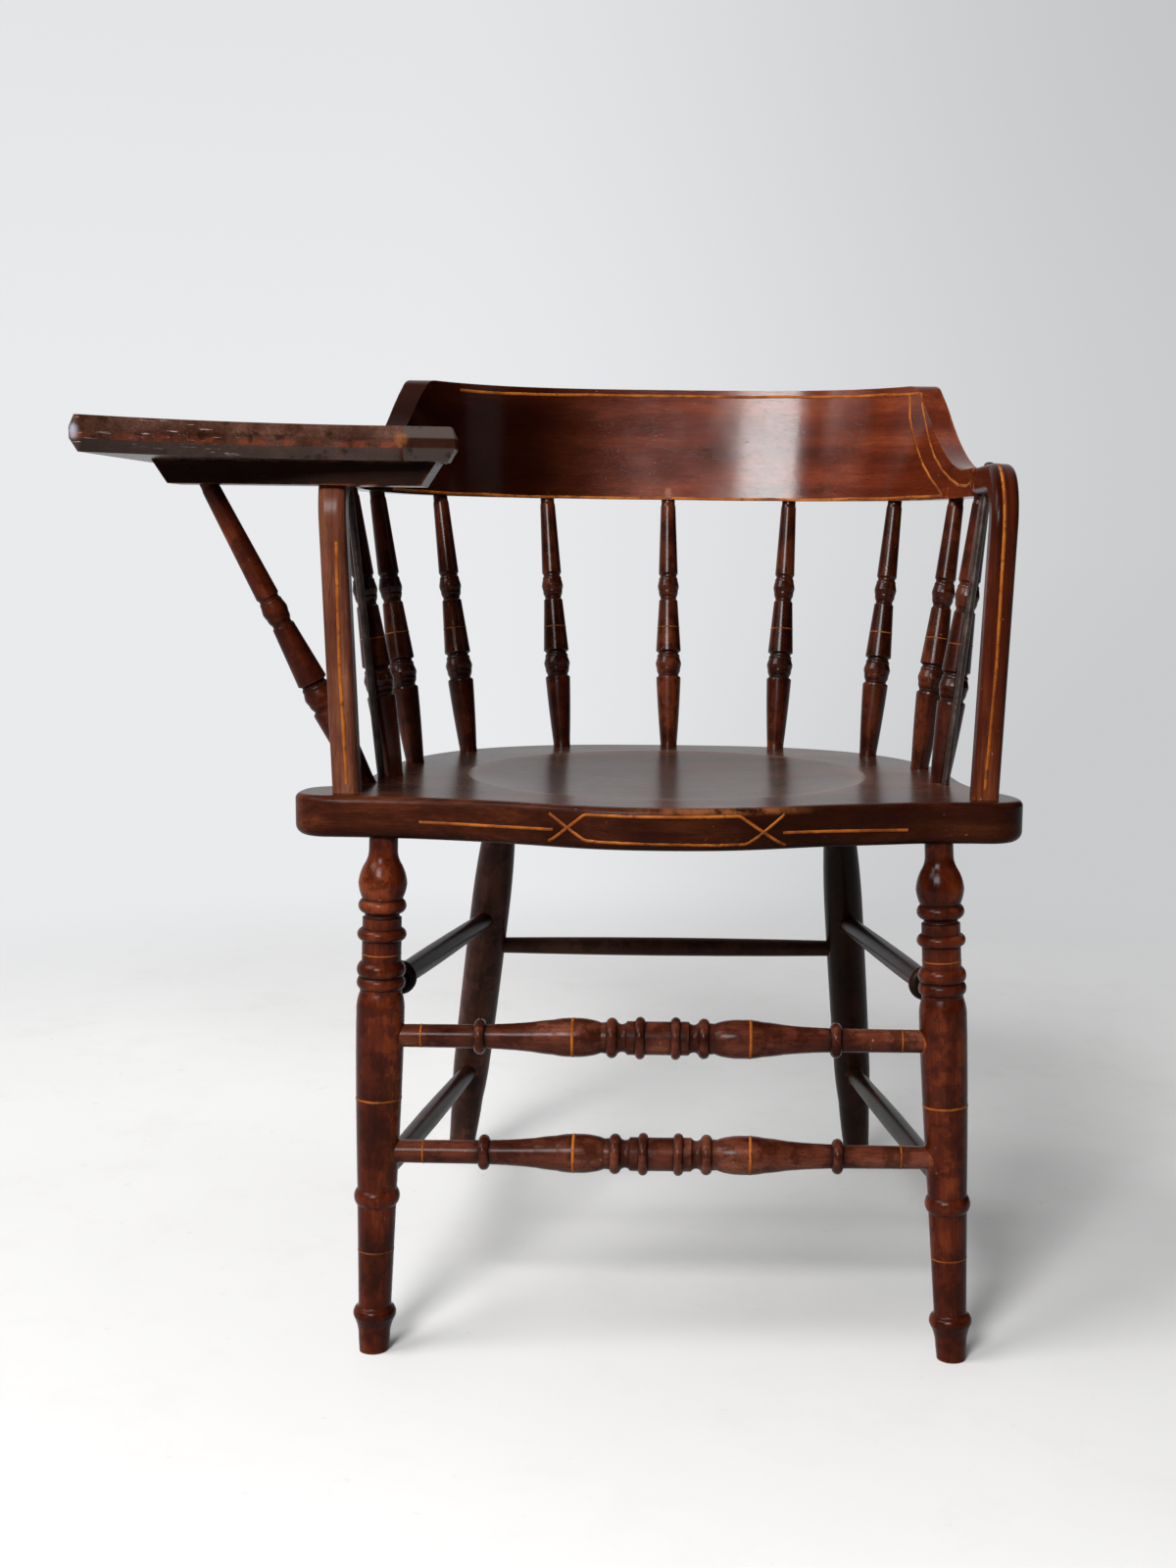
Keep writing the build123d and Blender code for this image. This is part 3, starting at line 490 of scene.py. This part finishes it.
# The middle of the bend, about which the fibres turn from upright to level.
bend_y = (50 + front_legs_y) / 1000
bend_z = 0.641
# The right arm gets a lighter stain than the left: painted light on the side the left lamp falls on.
arm_stains_lit_and_shaded = {"arm_right": ((0.020, 0.0060, 0.0030), (0.088, 0.0270, 0.0145), (0.200, 0.0750, 0.0400)),
              "arm_left": (turned_deep, (0.042, 0.0068, 0.0022), (0.105, 0.0260, 0.0095))}
for number, (name, stain) in enumerate(arm_stains_lit_and_shaded.items()):
    finish, place = new_finish(name + " stain and varnish")
    part = place.node("ShaderNodeSeparateXYZ", {}, {0: place})
    above_bend = (part.out("Z") - bend_z).most(0.0)
    ahead = (bend_y - part.out("Y")).most(0.0)
    across = (above_bend ** 2 + ahead ** 2) ** 0.5
    along = part.out("Y").most(bend_y) + part.out("Z").least(bend_z)
    stick_grain = place.node("ShaderNodeCombineXYZ", {}, {"X": part.out("X"), "Y": across, "Z": along})
    colour, roughness, bump, rub, cloud = varnished(place, stick_grain, *stain, wear=1.0, gloss=0.24,
                                                    seed=2.2 + number)
    lay_finish(place, colour, roughness, bump)
    give(finish, name)

arm_paths = (
    ((241.0, -3, 446), (241.2, -3, 452.6), (246.5, -3, 539.2), (249.0, -3, 636), (249.2, 1, 662),
     (249.4, 16, 683), (249.7, 32, 692), (250, 52, 694), (250.3, 124, 694)),
    ((-240.6, -3, 445), (-240.8, -3, 452), (-244.9, -3, 533.7), (-246.0, -3, 600), (-246.1, -3, 626)),
)
striping("arm_striping", [[at(*point) for point in path] for path in arm_paths], ["arm_left", "arm_right"],
         0.0025, 0.0003, 0.002)

# ---------------------------------------------------------------- writing tablet
# A wide board on the sitter's right arm, with the edges bevelled above and below. A batten is screwed across
# underneath and a turned brace props it from the seat. The front edge and corners are knocked and scratched.

tablet_deep = (0.010, 0.0030, 0.0015)
tablet_middle = (0.037, 0.0140, 0.0085)
tablet_warm = (0.088, 0.0400, 0.0270)
red_edge = (0.155, 0.030, 0.012)
low_bevel_reflection_colour = (0.050, 0.037, 0.033)
end_shade_colour, end_bevel_highlight_colour = (0.013, 0.004, 0.002), (0.100, 0.086, 0.080)
scratch_colour, dent_colour = (0.40, 0.34, 0.32), (0.006, 0.003, 0.002)
written_colour, pen_colour = (0.12, 0.045, 0.020), (0.15, 0.08, 0.05)
finish, place = new_finish("tablet stain and varnish")
board_grain = place.node("ShaderNodeMapping", {}, {"Vector": place, "Rotation": (math.pi / 2, 0, 0)})
colour, roughness, bump, rub, cloud = varnished(place, board_grain, tablet_deep, tablet_middle, tablet_warm,
                                                wear=0.9, gloss=0.27, seed=4.4)
normal = place.node("ShaderNodeNewGeometry", output="Normal")
facing = place.node("ShaderNodeSeparateXYZ", {}, {0: normal})
front = facing.out("Y").above(-0.55, -0.85)
top = facing.out("Z").above(0.85, 0.97)
where = place.node("ShaderNodeSeparateXYZ", {}, {0: place})
cuts = place.noise(place.vector("MULTIPLY", place, (60, 60, 900)), 1.0, 3.0, 0.7).above(0.62, 0.68)
dents = place.noise(place, 95.0, 3.0, 0.6).above(0.56, 0.70)
red_band = front * where.out("Z").above(0.6915, 0.6945) * where.out("Z").above(0.7000, 0.6965)
colour = place.tint(red_band * rub.above(0.42, 0.62) * 0.5, colour, red_edge)
# Painted reflection: the faces of the tablet that look down are greyed as if they mirrored the pale floor.
low_bevel_reflection = facing.out("Z").above(-0.15, -0.40) * where.out("X").above(-0.126, -0.130)
colour = place.tint(low_bevel_reflection * 0.6, colour, low_bevel_reflection_colour)
# Painted shade on the tablet's inner end, and painted highlights greying its bevels above and below.
end = where.out("X").above(-0.1262, -0.1248) * (1 - top)
end_bevel_highlights = end * (where.out("Z").above(0.7005, 0.7025) + where.out("Z").above(0.6950, 0.6930))
colour = place.tint(end * 0.9, colour, end_shade_colour)
colour = place.tint(end_bevel_highlights * 0.35, colour, end_bevel_highlight_colour)
colour = place.tint(cuts * front * where.out("X").above(-0.220, -0.260) * 0.8, colour, scratch_colour)
colour = place.tint(dents * front * 0.7, colour, dent_colour)


def knock_and_glint_spot(x, y, z, size, amount, over):
    """A small spot on the tablet: a knock where the varnish has gone, or, in bluish grey, a painted
    highlight.
    """
    near = place.vector("DISTANCE", place, tuple(at(x, y, z)), output="Value").above(size, size * 0.4)
    return place.tint(near * rub.above(0.36, 0.52) * amount, colour, over)


colour = knock_and_glint_spot(-194, -23, 700, 0.007, 0.4, (0.20, 0.065, 0.018))
# Painted highlight: a bluish-grey glint near the nose.
colour = knock_and_glint_spot(-203, -28, 698, 0.004, 0.8, (0.34, 0.35, 0.42))
colour = knock_and_glint_spot(-216, -33, 690, 0.003, 1.0, (0.75, 0.60, 0.48))
# Painted highlight: a bluish-grey glint on the far left corner.
colour = knock_and_glint_spot(-406, -122, 699, 0.013, 0.9, (0.42, 0.46, 0.56))
written_on = at(-290, 0, 710)
written = place.vector("DISTANCE", place, tuple(written_on), output="Value").above(0.15, 0.05) * top
colour = place.tint(written * rub.above(0.35, 0.65) * 0.35, colour, written_colour)
pen = place.noise(place.vector("MULTIPLY", place, (500, 45, 50)), 1.0, 2.0).above(0.68, 0.75) * top
colour = place.tint(pen * 0.35, colour, pen_colour)
lay_finish(place, colour, roughness + written * 0.10 + cuts * front * 0.2,
           bump - dents * front * 1.2 - cuts * front * 0.7 - pen * 0.4)
give(finish, "writing_tablet")

# The batten under the tablet, coloured much darker than the tablet.
finish, place = new_finish("batten stain and varnish")
batten_grain = place.node("ShaderNodeMapping", {}, {"Vector": place, "Rotation": (0, math.pi / 2, 0)})
colour, roughness, bump, rub, cloud = varnished(
    place, batten_grain, (0.003, 0.0008, 0.0005), (0.009, 0.0022, 0.0011), (0.022, 0.006, 0.0025), wear=0.7,
    gloss=0.28, seed=6.0)
lay_finish(place, colour, roughness, bump)
give(finish, "tablet_batten")
turned_finish("tablet_brace", turned_deep, turned_middle, turned_warm, gloss=0.26, seed=31.0)

# ---------------------------------------------------------------- ironwork
# A drawn iron rod with a domed head clamps each arm down to the seat, with a washer and nut below. Steel wood
# screws hold the batten and the tablet. The iron is browned with age, and brighter where hands rub it.


def old_metal(name, dark, bright, rust, metallic, roughness_low, *names):
    """Pitted and spotted metal, laid on the named pieces."""
    finish, place = new_finish(name)
    mottle = place.noise(place, 160.0, 4.0, 0.65)
    pits = place.noise(place, 900.0, 2.0, 0.6).above(0.60, 0.72)
    spots = place.noise(place, 60.0, 4.0, 0.7).above(0.50, 0.66)
    colour = place.tint(mottle.above(0.35, 0.68), dark, bright)
    colour = place.tint(spots * 0.65, colour, rust)
    lay_finish(place, colour, mottle * 0.25 + spots * 0.2 + roughness_low, mottle * 0.3 - pits * 0.3,
               metallic=(1 - spots * 0.5) * metallic, depth=0.00002, shine=0.5)
    give(finish, *names)


old_metal("browned iron", (0.020, 0.012, 0.009), (0.042, 0.028, 0.023), (0.030, 0.011, 0.006), 0.6, 0.20,
          "tie_rod_right", "tie_rod_left", "tie_rod_washers", "tie_rod_nuts")
old_metal("dull screw steel", (0.09, 0.08, 0.07), (0.30, 0.28, 0.26), (0.10, 0.045, 0.02), 0.9, 0.26,
          "batten_screws", "arm_screw")

# ---------------------------------------------------------------- room
# A plain pale painted floor that runs out into a pale wall colour, a large soft lamp at the left, a window
# in front that is brighter in its middle, and a weak lamp on the right.

wall_colour = (0.795, 0.803, 0.815)
shaded_wall_colour = (0.571, 0.577, 0.585)
floor_colour, far_floor_lit_colour = (0.550, 0.545, 0.540), (0.680, 0.674, 0.668)
patch_colour, scuffed_colour, speck_colour = (0.450, 0.446, 0.442), (0.44, 0.42, 0.395), (0.42, 0.385, 0.335)
dull_floor_colour = (0.25, 0.24, 0.23)
floor_fade_start, floor_fade_end = 0.85, 1.9
floor_reach = 60.0
finish, place = new_finish("pale floor paint")
specks = place.noise(place, 38.0, 4.0, 0.7).above(0.64, 0.76)
scuffed = place.noise(place, 9.0, 6.0, 0.75).above(0.50, 0.66)
patches = place.noise(place, 3.0, 3.0)
# Painted light: the floor is made paler further back, where it would catch more light.
painted_light_further_back = place.node("ShaderNodeSeparateXYZ", {}, {0: place}).out("Y").above(-0.25, 0.75)
paint_colour = place.tint(painted_light_further_back, floor_colour, far_floor_lit_colour)
paint_colour = place.tint(patches.above(0.3, 0.7) * 0.12, paint_colour, patch_colour)
paint_colour = place.tint(scuffed * 0.10, paint_colour, scuffed_colour)
paint_colour = place.tint(specks * 0.35, paint_colour, speck_colour)
floor_surface = place.node("ShaderNodeBsdfPrincipled", {}, {
    "Base Color": paint_colour, "Roughness": 0.9, "Specular IOR Level": 0.0})
toward = place.node("ShaderNodeSeparateXYZ", {}, {0: place.vector("NORMALIZE", place)})
dimmed = place.tint(toward.out("X").above(-0.15, 0.30), wall_colour, shaded_wall_colour)
flat = place.node("ShaderNodeBsdfPrincipled", {}, {
    "Base Color": (0, 0, 0, 1), "Specular IOR Level": 0.0, "Emission Color": dimmed,
    "Emission Strength": 1.03})
far = place.vector("LENGTH", place, output="Value").above(floor_fade_start, floor_fade_end)
mixed = place.node("ShaderNodeMixShader", {}, {0: far, 1: floor_surface, 2: flat})
dull_floor = place.node("ShaderNodeBsdfPrincipled", {}, {
    "Base Color": (*dull_floor_colour, 1), "Roughness": 0.9, "Specular IOR Level": 0.0})
rays = place.node("ShaderNodeLightPath", output="Is Camera Ray")
clear = rays.most(rays.out("Is Glossy Ray")).most(rays.out("Is Transmission Ray"))
mixed = place.node("ShaderNodeMixShader", {}, {0: clear, 1: dull_floor, 2: mixed})
place.node("ShaderNodeOutputMaterial", {}, {"Surface": mixed}, None)
floor_mesh = bpy.data.meshes.new("floor")
floor_corners = [(x * floor_reach, y * floor_reach, 0) for x, y in ((-1, -1), (1, -1), (1, 1), (-1, 1))]
floor_mesh.from_pydata(floor_corners, [], [(0, 1, 2, 3)])
floor_mesh.materials.append(finish)
floor = bpy.data.objects.new("floor", floor_mesh)
bpy.context.scene.collection.objects.link(floor)

world = bpy.data.worlds.new("room")
bpy.context.scene.world = world
world.use_nodes = True
world.node_tree.nodes.clear()
sky = Shade(world.node_tree).node("ShaderNodeTexCoord", output="Generated")
toward = sky.node("ShaderNodeSeparateXYZ", {}, {0: sky})
behind = toward.out("Y").above(-0.15, 0.55)
left = toward.out("X").above(0.3, -0.9)
glossy_level = behind * toward.out("X").above(0.65, 0.30) * 0.85 + left * 0.12 + 0.005
soft_level = left * 0.50 + behind * 0.22 + 0.11
wall_level = 1.03 - toward.out("Z").above(0.05, 0.30) * 0.06 - toward.out("X").above(-0.15, 0.30) * 0.29
rays = sky.node("ShaderNodeLightPath", output="Is Camera Ray")
clear = rays.out("Is Glossy Ray").most(rays.out("Is Transmission Ray"))
lamp_light = sky.node("ShaderNodeBackground", {}, {"Color": (0.97, 0.985, 1.0, 1), "Strength": soft_level})
wall_seen = sky.node("ShaderNodeBackground", {}, {"Color": (*wall_colour, 1), "Strength": wall_level})
wall_mirrored = sky.node("ShaderNodeBackground", {}, {"Color": (*wall_colour, 1), "Strength": glossy_level})
mixed = sky.node("ShaderNodeMixShader", {}, {0: clear, 1: lamp_light, 2: wall_mirrored})
mixed = sky.node("ShaderNodeMixShader", {}, {0: rays, 1: mixed, 2: wall_seen})
sky.node("ShaderNodeOutputWorld", {}, {"Surface": mixed}, None)


lit_point = Vector((0, 0, 0.55))


def soft_lamp(name, azimuth, elevation, distance, width, height, watts):
    """A rectangular lamp, azimuth degrees round from straight in front towards the right."""
    lamp = bpy.data.lights.new(name, "AREA")
    lamp.shape = "RECTANGLE"
    lamp.size = width
    lamp.size_y = height
    lamp.energy = watts
    holder = bpy.data.objects.new(name, lamp)
    turn, rise = math.radians(azimuth), math.radians(elevation)
    ray = Vector((math.sin(turn) * math.cos(rise), -math.cos(turn) * math.cos(rise), math.sin(rise)))
    holder.location = lit_point + ray * distance
    holder.rotation_euler = ray.to_track_quat("Z", "Y").to_euler()
    bpy.context.scene.collection.objects.link(holder)


soft_lamp("left lamp", -62, 44, 4.6, 2.4, 2.5, 190)
soft_lamp("window", -16.3, 26, 3.0, 1.00, 0.8, 72)
soft_lamp("window middle", -16.3, 26, 3.0, 0.62, 0.8, 64)
soft_lamp("right lamp", 70, 30, 3.5, 1.5, 1.5, 2)

# The lens, the frame and the column of the lens's middle, in pixels of the frame.
lens_pixels, frame_pixels, middle_pixel = 1914.47, (1200, 1600), 703.06
camera_place = at(7.866, -1402.63, 629.51)
camera = bpy.data.cameras.new("camera")
camera.sensor_width = 36.0
camera.lens = lens_pixels * camera.sensor_width / frame_pixels[1]
camera.shift_x = (frame_pixels[0] / 2 - middle_pixel) / frame_pixels[1]
camera.clip_end = 200
yaw, pitch, roll = -0.006696, 0.128714, 0.0117525
ahead = Vector((-math.sin(yaw), math.cos(yaw), 0))
side = Vector((math.cos(yaw), math.sin(yaw), 0))
upward = Vector((0, 0, 1))
look = ahead * math.cos(pitch) - upward * math.sin(pitch)
lean = upward * math.cos(pitch) + ahead * math.sin(pitch)
right_hand = side * math.cos(roll) + lean * math.sin(roll)
head_up = lean * math.cos(roll) - side * math.sin(roll)
camera_holder = bpy.data.objects.new("camera", camera)
turned = Matrix((right_hand, head_up, -look)).transposed().to_4x4()
turned.translation = camera_place
camera_holder.matrix_world = turned
bpy.context.scene.collection.objects.link(camera_holder)
bpy.context.scene.camera = camera_holder
bpy.context.scene.view_settings.view_transform = "Standard"
